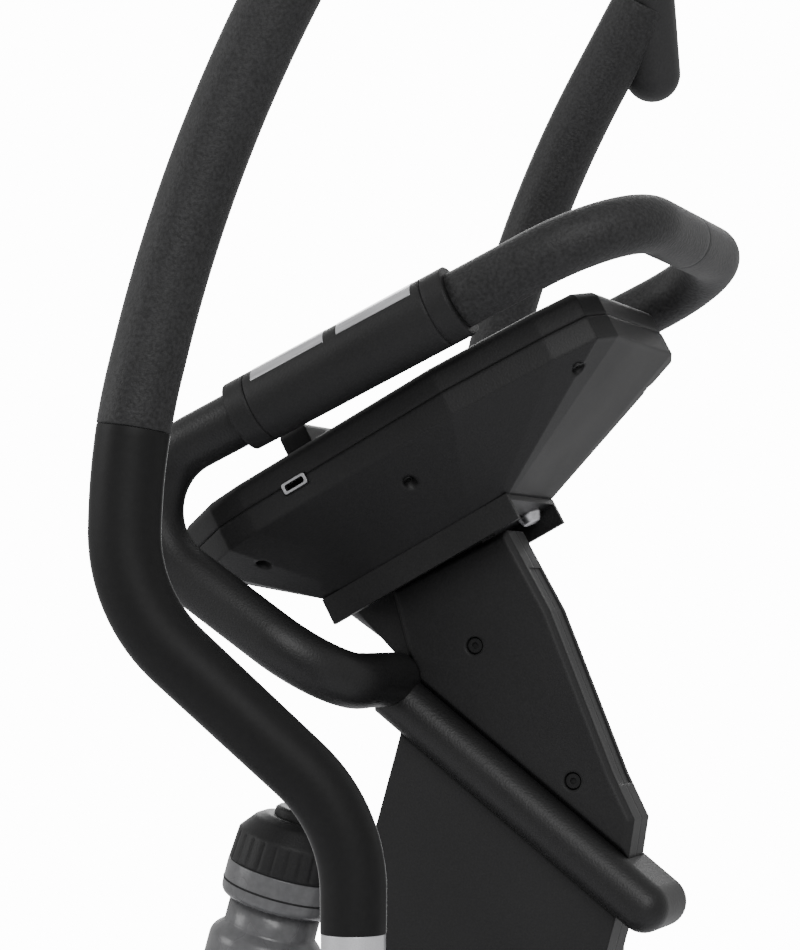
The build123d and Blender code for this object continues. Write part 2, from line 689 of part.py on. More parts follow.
# ---------------------------------------------------------------- swing arms
for side, hand in SIDES.items():
    y = hand * arm_spread
    route = [(pivot_x, y, pivot_z), (pivot_x, y, handle_foot_z)]
    for x, z in handle_route:
        route.append((x, hand * (handle_spread - handle_lean * max(0.0, z - handle_lean_start)), z))
    path = FilletPolyline(*route, radius=handle_bends)
    handle = tube_along(path, handle_radius, handle_radius - bar_wall)
    solid_handle = tube_along(path, handle_radius, 0)
    above = Pos(pivot_x, y, collar_z + 500.0) * Box(900, 400, 1000)
    handle = largest(handle & above)
    arm_low = lower_pin_z
    arm = Pos(pivot_x, y, (arm_low + collar_z) / 2) * (
        Cylinder(arm_radius, collar_z - arm_low) - Cylinder(arm_radius - arm_wall, collar_z - arm_low - 6.0))
    arm += handle
    arm += along_y(pivot_x, y, pivot_z, hub_radius, hub_length)
    arm += along_y(pivot_x, y, lower_pin_z, lower_hub_radius, lower_hub_length)
    arm -= along_y(pivot_x, y, pivot_z, axle_radius + running_gap, hub_length + 2)
    pin_low = pedal_arm_spread - pedal_arm_width / 2 - 2.0
    pin_high = arm_spread + lower_hub_length / 2 + 2.0
    arm += along_y(pivot_x, hand * (pin_low + pin_high) / 2, lower_pin_z, lower_pin_radius, pin_high - pin_low)
    washer_y = hand * (pin_low - 2.0)
    arm += along_y(pivot_x, washer_y, lower_pin_z, lower_pin_radius + 6.0, 4.0)
    save(f"swing_arm_{side}", arm)

    tip = (top_grip_tip[0], hand * top_grip_tip[1], top_grip_tip[2])
    way = (top_grip_way[0], hand * top_grip_way[1], top_grip_way[2])
    grip_plane = Plane(origin=tip, z_dir=way)
    straight = top_grip_length - 2 * top_grip_radius
    grip = Pos(0, 0, straight / 2) * Cylinder(top_grip_radius, straight)
    grip += Sphere(top_grip_radius)
    grip += Pos(0, 0, straight) * Sphere(top_grip_radius)
    grip = grip_plane * grip
    foam_above = Pos(pivot_x, y, grip_start_z + 250.0) * Box(900, 400, 500)
    foam = tube_along(path, grip_radius, handle_radius) & foam_above
    save(f"handle_foam_{side}", largest(foam - grip))
    save(f"top_grip_{side}", largest(grip - solid_handle))
    sleeve_above = Pos(pivot_x, y, (collar_z + grip_start_z) / 2) * Box(900, 400, grip_start_z - collar_z)
    sleeve_radius = (sleeve_low_radius + sleeve_top_radius) / 2
    save(f"handle_sleeve_{side}", largest(tube_along(path, sleeve_radius, handle_radius) & sleeve_above))

# ---------------------------------------------------------------- pedal arms and pedals
arm_reach = math.hypot(pivot_x - crank_x, crank_radius)
arm_tilt = math.asin(crank_radius / arm_reach)
for side, hand in SIDES.items():
    slope = arm_tilt if side == "right" else -arm_tilt
    local = Plane(
        origin=(pivot_x, 0, lower_pin_z),
        x_dir=(math.cos(slope), 0, math.sin(slope)),
        z_dir=(-math.sin(slope), 0, math.cos(slope)),
    )
    y = hand * pedal_arm_spread
    rear_eye = along_y(-arm_reach, y, 0, pedal_hub_radius, pedal_arm_width)
    beam_part = Pos(-arm_reach / 2, y, 0) * (
        Box(arm_reach, pedal_arm_width, pedal_arm_height)
        - Box(arm_reach - 40, pedal_arm_width - 2 * tube_wall, pedal_arm_height - 2 * tube_wall))
    pedal_u = pedal_ahead - arm_reach
    outer_y = pedal_inner + pedal_width
    step_low = pedal_inner + 14.0
    step_high = pedal_arm_spread - pedal_arm_width / 2
    step_width = step_high - step_low + 2.0
    arm = beam_part + along_y(0, y, 0, pedal_hub_radius, pedal_arm_width) + rear_eye
    for u in (-0.32 * pedal_length, 0.32 * pedal_length):
        step = Box(40.0, step_width, 22.0)
        arm += Pos(pedal_u + u, hand * (step_low + step_width / 2), pedal_arm_height / 2 - 11.0) * step
    arm -= along_y(0, y, 0, lower_pin_radius + running_gap, pedal_arm_width + 2)
    save(f"pedal_arm_{side}", local * arm)

    pedal_y = hand * (pedal_inner + pedal_width / 2)
    pedal_z = pedal_arm_height / 2 + pedal_thickness / 2
    pedal = fillet(Box(pedal_length, pedal_width, pedal_thickness).edges().filter_by(Axis.Z), pedal_corner)
    toe = fillet(
        Box(pedal_length, pedal_width, pedal_thickness + toe_wall_height).edges().filter_by(Axis.Z), pedal_corner)
    toe &= Pos(pedal_length * 0.42, 0, 0) * Box(pedal_length * 0.16, pedal_width, 2 * toe_wall_height + 40)
    pedal += Pos(0, 0, toe_wall_height / 2) * toe
    hollow_length = pedal_length - 2 * pedal_rim
    hollow_width = pedal_width - 2 * pedal_rim
    hollow = fillet(Box(hollow_length, hollow_width, toe_wall_height * 3).edges().filter_by(Axis.Z),
                    pedal_corner - pedal_rim)
    pedal -= Pos(0, 0, pedal_thickness / 2 - pedal_recess + toe_wall_height * 1.5) * hollow
    save(f"pedal_{side}", local * Pos(pedal_u, pedal_y, pedal_z) * pedal)
    mat = Box(hollow_length - 2 * pedal_mat_gap, hollow_width - 2 * pedal_mat_gap, pedal_mat_height)
    mat = fillet(mat.edges().filter_by(Axis.Z), pedal_corner - pedal_rim)
    for x in range(-8, 9):
        mat -= Pos(x * hollow_length / 18.0, 0, pedal_mat_height / 2) * Box(4.0, hollow_width - 24.0, 3.0)
    mat_z = pedal_z + pedal_thickness / 2 - pedal_recess + pedal_mat_height / 2
    save(f"pedal_mat_{side}", local * Pos(pedal_u, pedal_y, mat_z) * mat)

# ---------------------------------------------------------------- crank and drive
crank_half = crank_spread + crank_thickness
crank = along_y(crank_x, 0, crank_z, drive_axle_radius, 2 * crank_half)
pin_reach = pedal_arm_spread - pedal_arm_width / 2 - crank_pin_gap
for side, hand in SIDES.items():
    z = crank_z + hand * crank_radius
    y = hand * (crank_spread + crank_thickness / 2)
    web = Pos(crank_x, y, (crank_z + z) / 2) * Box(1.5 * crank_boss_radius, crank_thickness, crank_radius)
    arm = web + along_y(crank_x, y, crank_z, crank_boss_radius, crank_thickness)
    arm += along_y(crank_x, y, z, crank_boss_radius * 0.8, crank_thickness)
    arm += along_y(crank_x, hand * (crank_spread + pin_reach) / 2, z, crank_pin_radius, pin_reach - crank_spread)
    crank += arm
save("crank", crank)

pulley = along_y(crank_x, pulley_offset, crank_z, pulley_radius, pulley_width)
for step in range(6):
    hole_angle = math.radians(60 * step)
    hole_x = crank_x + 0.6 * pulley_radius * math.cos(hole_angle)
    hole_z = crank_z + 0.6 * pulley_radius * math.sin(hole_angle)
    pulley -= along_y(hole_x, pulley_offset, hole_z, 28.0, pulley_width + 2)
pulley -= along_y(crank_x, pulley_offset, crank_z, drive_axle_radius, pulley_width + 2)
save("crank_pulley", pulley)

plate_high = side_plate_y + side_plate_thickness / 2
flywheel = along_y(flywheel_x, 0, flywheel_z, flywheel_radius, flywheel_width)
flywheel = chamfer(flywheel.edges(), 2.0)
axle_low = -plate_high - 5.0
axle_high = pulley_offset + pulley_width / 2
flywheel += along_y(flywheel_x, (axle_low + axle_high) / 2, flywheel_z, flywheel_axle_radius, axle_high - axle_low)
flywheel += along_y(flywheel_x, pulley_offset, flywheel_z, small_pulley_radius, pulley_width)
save("flywheel", flywheel)

big = (crank_x, crank_z)
small = (flywheel_x, flywheel_z)


def belt_slab(grow, width):
    """A belt-shaped plate round both pulleys, standing off them by `grow`."""
    big_radius = pulley_radius + grow
    small_radius = small_pulley_radius + grow
    shape = along_y(*big[:1], pulley_offset, big[1], big_radius, width)
    shape += along_y(*small[:1], pulley_offset, small[1], small_radius, width)
    corners = []
    for hand in (1, -1):
        normal = belt_normal(hand)
        corners.append((moved(big, normal, big_radius), moved(small, normal, small_radius)))
    outline = [corners[0][0], corners[0][1], corners[1][1], corners[1][0]]
    return shape + slab(outline, pulley_offset - width / 2, pulley_offset + width / 2)


def belt_normal(hand):
    """The outward direction of the belt's straight run above (1) or below (-1)."""
    way = unit(small, big)
    along = (small_pulley_radius - pulley_radius) / math.dist(small, big)
    across = hand * math.sqrt(1.0 - along * along)
    return (way[0] * along - way[1] * across, way[1] * along + way[0] * across)


belt = belt_slab(belt_gap + belt_thickness, belt_width) - belt_slab(belt_gap, belt_width + 2)
save("drive_belt", belt)

below = belt_normal(-1)
run_start = moved(big, below, pulley_radius + belt_gap + belt_thickness)
run_end = moved(small, below, small_pulley_radius + belt_gap + belt_thickness)
run_middle = ((run_start[0] + run_end[0]) / 2, (run_start[1] + run_end[1]) / 2)
idler_centre = moved(run_middle, below, idler_radius + belt_gap)
idler = along_y(idler_centre[0], pulley_offset, idler_centre[1], idler_radius, pulley_width)
idler -= along_y(idler_centre[0], pulley_offset, idler_centre[1], idler_pin_radius + running_gap, pulley_width + 2)
save("idler", idler)


def about_flywheel(radius, degrees):
    angle = math.radians(degrees)
    return (flywheel_x + radius * math.cos(angle), flywheel_z + radius * math.sin(angle))


magnet_radius = flywheel_radius + brake_gap
band_radius = magnet_radius + magnet_height
brake_pivot = about_flywheel(magnet_radius + 2 * brake_pin_radius + 2.0, brake_pivot_angle)
brake_width = 2 * brake_half_width
ring = along_y(flywheel_x, 0, flywheel_z, band_radius + brake_band, brake_width)
ring -= along_y(flywheel_x, 0, flywheel_z, band_radius, brake_width + 2)
sector = slab([small, about_flywheel(300.0, brake_angles[0]), about_flywheel(300.0, 95.0),
               about_flywheel(300.0, brake_pivot_angle)], -brake_half_width - 1, brake_half_width + 1)
brake = ring & sector
magnets = along_y(flywheel_x, 0, flywheel_z, band_radius + 1.0, brake_width - 4.0)
magnets -= along_y(flywheel_x, 0, flywheel_z, magnet_radius, brake_width)
for middle in (75.0, 92.0, 109.0):
    wedge = slab([small, about_flywheel(300.0, middle - 6.0), about_flywheel(300.0, middle + 6.0)], -50, 50)
    brake += magnets & wedge
brake += along_y(brake_pivot[0], 0, brake_pivot[1], 2 * brake_pin_radius, brake_width)
brake -= along_y(brake_pivot[0], 0, brake_pivot[1], brake_pin_radius + running_gap, brake_width + 2)
save("brake_arm", brake)

plate_outline = [
    (flywheel_x - 55.0, beam_high), (crank_x + 50.0, beam_high), (crank_x + 45.0, crank_z + 15.0),
    (crank_x + 15.0, crank_z + 45.0), (flywheel_x + 20.0, flywheel_z + 100.0),
    (brake_pivot[0] - 2.0, brake_pivot[1] + 18.0), (brake_pivot[0] - 20.0, brake_pivot[1] - 5.0),
    (flywheel_x - 55.0, flywheel_z - 20.0),
]
frame = along_y(crank_x, 0, crank_z, housing_radius, 2 * housing_half)
for hand in SIDES.values():
    y = hand * side_plate_y
    frame += slab(plate_outline, y - side_plate_thickness / 2, y + side_plate_thickness / 2)
frame -= along_y(crank_x, 0, crank_z, housing_radius - 6.0, 2 * (housing_half - bearing_land))
frame -= along_y(crank_x, 0, crank_z, drive_axle_radius + running_gap, 2 * housing_half + 2)
frame -= along_y(flywheel_x, 0, flywheel_z, flywheel_axle_radius + running_gap, 4 * plate_high)
frame += along_y(brake_pivot[0], 0, brake_pivot[1], brake_pin_radius, 2 * plate_high)
idler_pin_high = pulley_offset + pulley_width / 2 + 2.0
frame += along_y(idler_centre[0], (side_plate_y + idler_pin_high) / 2, idler_centre[1], idler_pin_radius,
                 idler_pin_high - side_plate_y)
save("drive_frame", frame)

# ---------------------------------------------------------------- drive cover
shroud_outline = [
    (-925.0, 58.0), (-925.0, 380.0), (-810.0, 500.0), (-560.0, 530.0), (-408.0, 430.0), (-395.0, 180.0), (-440.0, 58.0),
]
shroud_bends = [10.0, 60.0, 80.0, 110.0, 60.0, 60.0, 10.0]
shroud_inner_bends = [max(1.0, bend - shroud_wall) for bend in shroud_bends]
inlet_x = shroud_outline[0][0] - 1.0 + inlet_size[0] / 2
inlet = Pos(inlet_x, 60.0, 112.0) * Box(*inlet_size)
for side, hand in SIDES.items():
    outer = rounded_slab(shroud_outline, shroud_bends, *sorted((0, hand * shroud_half_width)))
    outer = fillet(outer.edges().group_by(Axis.Y)[0 if hand < 0 else -1], shroud_round)
    inner_y = hand * (shroud_half_width - shroud_wall)
    inner = rounded_slab(inset(shroud_outline, shroud_wall), shroud_inner_bends, *sorted((0, inner_y)))
    inner = fillet(inner.edges().group_by(Axis.Y)[0 if hand < 0 else -1], shroud_round - shroud_wall)
    shell = outer - inner
    shell -= Pos((front_reach - rear_reach) / 2, 0, beam_z) * Box(
        beam_length, beam_width + 2 * shroud_gap, beam_height + 2 * shroud_gap)
    shell -= along_y(-rear_reach, 0, tube_z, stabilizer_radius + shroud_gap, stabilizer_length)
    shell -= along_y(crank_x, 0, crank_z, shroud_hole_radius, 4 * shroud_half_width)
    for slot in range(vent_slots):
        slot_z = flywheel_z - 80.0 + slot * vent_pitch
        shell -= Pos(flywheel_x, hand * shroud_half_width, slot_z) * Box(vent_length, 20.0, vent_height)
    save(f"shroud_{side}", largest(shell - inlet))
save("power_inlet", inlet - Pos(inlet_x - inlet_size[0] / 2, 60.0, 112.0) * Rot(0, 90, 0) * Cylinder(
    inlet_hole_radius, inlet_size[0]))
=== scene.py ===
import json
import math

import bpy
from mathutils import Matrix, Vector


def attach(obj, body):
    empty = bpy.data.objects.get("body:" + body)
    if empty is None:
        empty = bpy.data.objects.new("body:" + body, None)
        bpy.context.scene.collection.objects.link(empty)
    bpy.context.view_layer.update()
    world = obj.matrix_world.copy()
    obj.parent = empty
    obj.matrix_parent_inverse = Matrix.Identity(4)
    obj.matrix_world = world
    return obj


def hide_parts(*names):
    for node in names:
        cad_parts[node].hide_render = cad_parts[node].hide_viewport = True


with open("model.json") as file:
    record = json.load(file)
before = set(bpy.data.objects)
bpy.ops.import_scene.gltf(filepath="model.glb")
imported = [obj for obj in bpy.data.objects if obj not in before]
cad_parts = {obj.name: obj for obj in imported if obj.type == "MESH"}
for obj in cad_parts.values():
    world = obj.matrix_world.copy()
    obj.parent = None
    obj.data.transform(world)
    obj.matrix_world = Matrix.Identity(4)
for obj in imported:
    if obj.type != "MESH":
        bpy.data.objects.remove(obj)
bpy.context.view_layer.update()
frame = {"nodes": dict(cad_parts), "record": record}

# An elliptical trainer. Metres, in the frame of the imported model: +X to the front of the machine, +Z up.

# Where the tilted console, the leaning bottle and the bars are. Routes are lists of (x, z).
CONSOLE_ORIGIN = Vector((0.675, 0.0, 1.298))
CONSOLE_TILT = math.radians(28.0)
CONSOLE_HALF_WIDTH = 0.100
BOTTLE_FOOT = Vector((0.5148, 0.0, 0.9311))
BOTTLE_LEAN = math.radians(16.0)
ARM_ROUTE = [(0.698, 0.790), (0.698, 1.142)]
ARM_SPREAD = 0.222
HANDLE_ROUTE = [(0.586, 1.257), (0.586, 1.343), (0.627, 1.520), (0.725, 1.681)]
HANDLE_BENDS = [0.090, 0.090, 0.360, 0.780]
HANDLE_SPREAD = 0.275
HANDLE_LEAN = 0.075
HANDLE_LEAN_START = 1.280
COLLAR_Z = 1.081
FOAM_START_Z = 1.351
SLEEVE_RADII = (0.0178, 0.0202)         # at the collar and at the foam
SLEEVE_EDGE = 0.0006
FOAM_RADIUS = 0.0204
BAR_SPREAD = 0.122
BAR_FRONT = (0.821, 1.477)
BAR_BEND = 0.060
BAR_FOAM_START = (0.722, 1.4312)
BAR_FOAM_RADIUS = 0.0171
BAR_FOAM_EDGE = 0.0007
PORT_PLACE = (-0.043, 0.058)
BRACKET_BOLTS = (-0.066, 0.041)
BRACKET_BOLT_Y = 0.028
BRACKET_PLATE = 0.004
SIDES = {"right": -1.0, "left": 1.0}

# The camera, three soft lights and the floor
CAMERA_PLACE = (1.250, -1.568, 1.250)
CAMERA_TURN = math.radians(21.316)      # to the left of straight along +Y
CAMERA_RISE = math.radians(3.011)
CAMERA_LENS = 102.3                     # millimetres, on a sensor 36 wide
LIGHTS = [  # name, place, what it points at, size, watts
    ("key", (2.6, -3.2, 3.4), (0.6, 0.0, 1.2), 2.2, 120.0),
    ("fill", (-2.8, -2.0, 2.6), (0.2, 0.0, 0.9), 2.0, 60.0),
    ("back", (-0.5, 3.2, 2.8), (0.4, 0.0, 1.1), 2.4, 80.0),
]
WORLD_LIGHT = 0.75                      # what the surround lights with
WORLD_SEEN = 14.0                       # how bright the camera sees it
FLOOR_REACH = 6.0
FLOOR_FADE = (0.6, 5.5)                 # where the floor starts and ends turning clear


# ---------------------------------------------------------------- materials
def noise_at(tree, size, detail=3.0, stretch=None):
    """A noise texture with features of about `size` metres, fixed to the object."""
    place = tree.nodes.new("ShaderNodeTexCoord")
    noise = tree.nodes.new("ShaderNodeTexNoise")
    noise.inputs["Scale"].default_value = 0.5 / size
    noise.inputs["Detail"].default_value = detail
    source = place.outputs["Object"]
    if stretch:
        mapping = tree.nodes.new("ShaderNodeMapping")
        mapping.inputs["Scale"].default_value = stretch
        tree.links.new(source, mapping.inputs["Vector"])
        source = mapping.outputs["Vector"]
    tree.links.new(source, noise.inputs["Vector"])
    return noise.outputs["Fac"]


def spread(tree, value, low, high, start=0.3, end=0.7, curve="LINEAR"):
    """A value that runs from start to end, stretched to run from low to high."""
    ranged = tree.nodes.new("ShaderNodeMapRange")
    ranged.interpolation_type = curve
    ranged.inputs["From Min"].default_value = start
    ranged.inputs["From Max"].default_value = end
    ranged.inputs["To Min"].default_value = low
    ranged.inputs["To Max"].default_value = high
    tree.links.new(value, ranged.inputs["Value"])
    return ranged.outputs["Result"]


def blend_colours(tree, factor, first, second):
    """A colour that runs from the first to the second as the factor goes from 0 to 1."""
    mix = tree.nodes.new("ShaderNodeMix")
    mix.data_type = "RGBA"
    mix.inputs[6].default_value = (*first, 1.0)
    mix.inputs[7].default_value = (*second, 1.0)
    tree.links.new(factor, mix.inputs[0])
    return mix.outputs[2]


def relief(tree, shader, heights, edge=0.0):
    """Bumps from (value, depth in metres) pairs, over edges rounded by `edge` metres."""
    normal = None
    if edge:
        bevel = tree.nodes.new("ShaderNodeBevel")
        bevel.samples = 4
        bevel.inputs["Radius"].default_value = edge
        normal = bevel.outputs["Normal"]
    for value, depth in heights:
        bump = tree.nodes.new("ShaderNodeBump")
        bump.inputs["Distance"].default_value = depth
        tree.links.new(value, bump.inputs["Height"])
        if normal:
            tree.links.new(normal, bump.inputs["Normal"])
        normal = bump.outputs["Normal"]
    tree.links.new(normal, shader.inputs["Normal"])


def surface(name, dark, light, rough, grains, edge=0.0, stretch=None, **sockets):
    """A procedural material: colours and roughness vary, and each (size, depth) grain is raised."""
    material = bpy.data.materials.new(name)
    material.use_nodes = True
    tree = material.node_tree
    shader = tree.nodes["Principled BSDF"]
    coarse = noise_at(tree, 0.045, 4.0)
    fine = [(noise_at(tree, size, 2.0, stretch), depth) for size, depth in grains]
    shade = tree.nodes.new("ShaderNodeMath")
    shade.operation = "MULTIPLY_ADD"
    tree.links.new(spread(tree, fine[0][0], 0.0, 0.65), shade.inputs[0])
    shade.inputs[1].default_value = 1.0
    tree.links.new(spread(tree, coarse, 0.0, 0.35), shade.inputs[2])
    tree.links.new(blend_colours(tree, shade.outputs[0], dark, light), shader.inputs["Base Color"])
    tree.links.new(spread(tree, coarse, *rough), shader.inputs["Roughness"])
    relief(tree, shader, fine, edge)
    for socket, value in sockets.items():
        shader.inputs[socket.replace("_", " ")].default_value = value
    return material


def grey(value):
    """A grey that is very slightly blue."""
    return (value, value, value * 1.03)


def make_materials():
    """One material for each slot of the record, and end_foam for the smoother end grips."""
    return {
        "black_frame": surface(
            "powder_coat", grey(0.004), grey(0.009), (0.38, 0.50), [(0.0007, 0.00022)], 0.0008,
            Specular_IOR_Level=0.30),
        "silver_tube": surface(
            "silver_paint", grey(0.52), grey(0.64), (0.30, 0.40), [(0.0004, 0.00005)], 0.0008,
            Metallic=0.75, Coat_Weight=0.3, Coat_Roughness=0.2),
        "black_cover": surface(
            "moulded_black", grey(0.007), grey(0.012), (0.44, 0.54), [(0.0006, 0.00014)], 0.0030,
            Specular_IOR_Level=0.24),
        "black_sleeve": surface(
            "matt_vinyl", grey(0.002), grey(0.004), (0.50, 0.60), [(0.0020, 0.00008)],
            Sheen_Weight=0.60, Sheen_Roughness=0.18, Specular_IOR_Level=0.20),
        "grip_foam": surface(
            "dense_foam", grey(0.0015), grey(0.022), (0.50, 0.66), [(0.0010, 0.0004), (0.0004, 0.00015)],
            Sheen_Weight=0.10, Sheen_Roughness=0.35, Specular_IOR_Level=0.30),
        "end_foam": surface(
            "end_foam", grey(0.014), grey(0.022), (0.55, 0.65), [(0.0008, 0.0001)],
            Sheen_Weight=0.15, Sheen_Roughness=0.3, Specular_IOR_Level=0.30),
        "contact_plate": surface(
            "brushed_plate", grey(0.50), grey(0.80), (0.22, 0.36), [(0.0012, 0.00006)], 0.0006,
            stretch=(0.08, 1.0, 0.08), Metallic=1.0),
        "steel": surface(
            "zinc_plate", grey(0.36), grey(0.56), (0.28, 0.45), [(0.0010, 0.00006)], 0.0005,
            Metallic=1.0),
        "dark_screw": surface(
            "black_oxide", grey(0.004), grey(0.010), (0.45, 0.60), [(0.0008, 0.00005)], 0.0003,
            Specular_IOR_Level=0.2),
        "cast_rim": surface(
            "cast_iron", grey(0.06), grey(0.16), (0.50, 0.70), [(0.0014, 0.00025)], 0.0010,
            Metallic=0.8),
        "rubber": surface(
            "ribbed_rubber", grey(0.006), grey(0.014), (0.65, 0.85), [(0.0012, 0.0004)], 0.0008,
            Specular_IOR_Level=0.2),
        "screen": surface(
            "screen_lens", grey(0.004), grey(0.009), (0.06, 0.12), [(0.02, 0.00002)], 0.0004,
            Coat_Weight=0.6, Coat_Roughness=0.05),
        "button": surface(
            "button_grey", grey(0.14), grey(0.20), (0.35, 0.45), [(0.0006, 0.00008)], 0.0006),
        "bottle_wall": surface(
            "smoky_plastic", grey(0.085), grey(0.120), (0.22, 0.32), [(0.0025, 0.00006)], 0.0006,
            Transmission_Weight=0.15, IOR=1.45),
    }


MATERIALS = make_materials()
for entry in frame["record"]["subparts"]:
    for material_slot in frame["nodes"][entry["node"]].material_slots:
        material_slot.material = MATERIALS[entry["material_slot"]]


# ---------------------------------------------------------------- shapes
TINY = 1e-6
TINIEST = 1e-9
END_SHARES = (0.08, 0.3, 0.6, 1.0)      # of a bar's end rounding, where it has rings of points


def rounded_route(points, radii, arc_points=40):
    """The points of a route whose inner corners are arcs of the given radii."""
    route = [Vector(points[0])]
    for before, corner, after, radius in zip(points, points[1:], points[2:], radii):
        corner = Vector(corner)
        back = (Vector(before) - corner).normalized()
        ahead = (Vector(after) - corner).normalized()
        half = back.angle(ahead) / 2
        reach = radius / math.tan(half)
        centre = corner + (back + ahead).normalized() * (radius / math.sin(half))
        start = corner + back * reach - centre
        end = corner + ahead * reach - centre
        route += [centre + start.normalized().slerp(end.normalized(), i / arc_points) * radius
                  for i in range(arc_points + 1)]
    return route + [Vector(points[-1])]


def cut_route(route, low_z, high_z=math.inf):
    """The part of a rising route between two heights."""
    kept = [route[0]]
    for p, q in zip(route, route[1:]):
        for z in (low_z, high_z):
            if p.z < z < q.z:
                kept.append(p.lerp(q, (z - p.z) / (q.z - p.z)))
        kept.append(q)
    return [p for p in kept if low_z - TINY <= p.z <= high_z + TINY]


def evenly(route, step, end_round):
    """(distance, point) samples along a route, closer together at its two ends."""
    lengths = [0.0]
    for p, q in zip(route, route[1:]):
        lengths.append(lengths[-1] + (q - p).length)
    total = lengths[-1]
    count = max(2, int(total / step))
    places = {total * i / count for i in range(count + 1)}
    for share in END_SHARES:
        places |= {end_round * share, total - end_round * share}
    samples = []
    for place in sorted(places):
        i = max(k for k, length in enumerate(lengths[:-1]) if length <= place + TINIEST)
        span = max(lengths[i + 1] - lengths[i], TINIEST)
        samples.append((place, route[i].lerp(route[i + 1], min(1.0, (place - lengths[i]) / span))))
    return samples, total


def mesh_piece(name, vertices, faces, body, slot, smooth=True):
    """A piece from its points and faces, in the material of its slot, riding on a body."""
    mesh = bpy.data.meshes.new(name)
    mesh.from_pydata([tuple(v) for v in vertices], [], faces)
    mesh.update()
    if smooth:
        mesh.polygons.foreach_set("use_smooth", [True] * len(mesh.polygons))
    piece = bpy.data.objects.new(name, mesh)
    bpy.context.scene.collection.objects.link(piece)
    mesh.materials.append(MATERIALS[slot])
    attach(piece, body)
    return piece


def around(sides):
    """The angles of the points of a ring."""
    return [2 * math.pi * i / sides for i in range(sides)]


def skin(rings, sides):
    """The faces over rings of points that follow each other, with a cap on the first and the last."""
    faces = []
    for k in range(rings - 1):
        for i in range(sides):
            j = (i + 1) % sides
            faces.append((k * sides + i, k * sides + j, (k + 1) * sides + j, (k + 1) * sides + i))
    faces.append(tuple(reversed(range(sides))))
    faces.append(tuple(range((rings - 1) * sides, rings * sides)))
    return faces


def tube(name, route, radius_at, body, slot, step=0.005, end_round=0.0012, sides=48):
    """A closed round bar along a route; radius_at(share of the length) gives its radius."""
    samples, total = evenly(route, step, end_round)
    vertices = []
    side = Vector((0, 1, 0))
    for k, (place, point) in enumerate(samples):
        before = samples[max(0, k - 1)][1]
        after = samples[min(len(samples) - 1, k + 1)][1]
        way = (after - before).normalized()
        side = (side - way * side.dot(way)).normalized()
        other = way.cross(side)
        depth = min(place, total - place, end_round)
        radius = radius_at(place / total) - end_round
        radius += math.sqrt(max(0.0, end_round ** 2 - (end_round - depth) ** 2))
        for turn in around(sides):
            vertices.append(point + side * (radius * math.cos(turn)) + other * (radius * math.sin(turn)))
    return mesh_piece(name, vertices, skin(len(samples), sides), body, slot)


def lathe(name, profile, placing, body, slot, sides=96, ripple=None):
    """A closed solid of revolution from (radius, height) points.

    ripple(turn, height) is added to the radius. A point on the axis gets no ring of its own.
    """
    profile = [(radius, height) for radius, height in profile if radius > 0.0]
    vertices = []
    for radius, height in profile:
        for turn in around(sides):
            r = radius + (ripple(turn, height) if ripple else 0.0)
            vertices.append(placing @ Vector((r * math.cos(turn), r * math.sin(turn), height)))
    return mesh_piece(name, vertices, skin(len(profile), sides), body, slot)


def soft_copy(name, node, body, material, voxel=0.002):
    """A remeshed, rounded copy of a plain solid, in a material of its own."""
    mesh = frame["nodes"][node].data.copy()
    piece = bpy.data.objects.new(name, mesh)
    bpy.context.scene.collection.objects.link(piece)
    remesh = piece.modifiers.new("remesh", "REMESH")
    remesh.mode = "VOXEL"
    remesh.voxel_size = voxel
    smooth = piece.modifiers.new("smooth", "SMOOTH")
    smooth.factor = 0.5
    smooth.iterations = 4
    piece.data.materials.clear()
    evaluated = piece.evaluated_get(bpy.context.evaluated_depsgraph_get())
    final = bpy.data.meshes.new_from_object(evaluated)
    piece.modifiers.clear()
    piece.data = final
    final.materials.clear()
    final.materials.append(MATERIALS[material])
    final.polygons.foreach_set("use_smooth", [True] * len(final.polygons))
    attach(piece, body)
    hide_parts(node)
    return piece


# ---------------------------------------------------------------- moving handles
def handle_route(hand):
    """The middle line of a moving arm, from its pivot to its top."""
    points = [(x, hand * ARM_SPREAD, z) for x, z in ARM_ROUTE]
    for x, z in HANDLE_ROUTE:
        points.append((x, hand * (HANDLE_SPREAD - HANDLE_LEAN * max(0.0, z - HANDLE_LEAN_START)), z))
    return rounded_route(points, HANDLE_BENDS)


def make_handles():
    """The sleeve, the foam and the end grip of both moving arms."""
    low, high = SLEEVE_RADII
    for side, hand in SIDES.items():
        body = f"swing_{side}"
        route = handle_route(hand)
        sleeve = tube(f"vinyl_sleeve_{side}", cut_route(route, COLLAR_Z, FOAM_START_Z),
                      lambda share: low + (high - low) * share, body, "black_sleeve",
                      end_round=SLEEVE_EDGE)
        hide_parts(f"handle_sleeve_{side}")
        foam = tube(f"handle_grip_{side}", cut_route(route, FOAM_START_Z), lambda share: FOAM_RADIUS, body,
                    "grip_foam")
        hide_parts(f"handle_foam_{side}")
        top = soft_copy(f"end_grip_{side}", f"top_grip_{side}", body, "end_foam")


# ---------------------------------------------------------------- fixed grip bar
def make_bar_foam():
    """The two foam grips that meet at the front of the fixed bar."""
    for side, hand in SIDES.items():
        y = hand * BAR_SPREAD
        points = [(BAR_FOAM_START[0], y, BAR_FOAM_START[1]), (BAR_FRONT[0], y, BAR_FRONT[1]),
                  (BAR_FRONT[0], 0.0, BAR_FRONT[1])]
        route = rounded_route(points, [BAR_BEND])
        foam = tube(f"bar_grip_{side}", route, lambda share: BAR_FOAM_RADIUS, "root", "grip_foam",
                    end_round=BAR_FOAM_EDGE)
        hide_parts(f"bar_foam_{side}")


# ---------------------------------------------------------------- bottle
FLUTES = 48
FLUTE_DEPTH = 0.0005
FLUTE_START_Z = 0.128
LID_GROOVES = 26
LID_GROOVE_DEPTH = 0.0012
LID_GRIP_Z = (0.168, 0.1850)
LID_STEP = 0.0015                       # between the rings of points of the lid


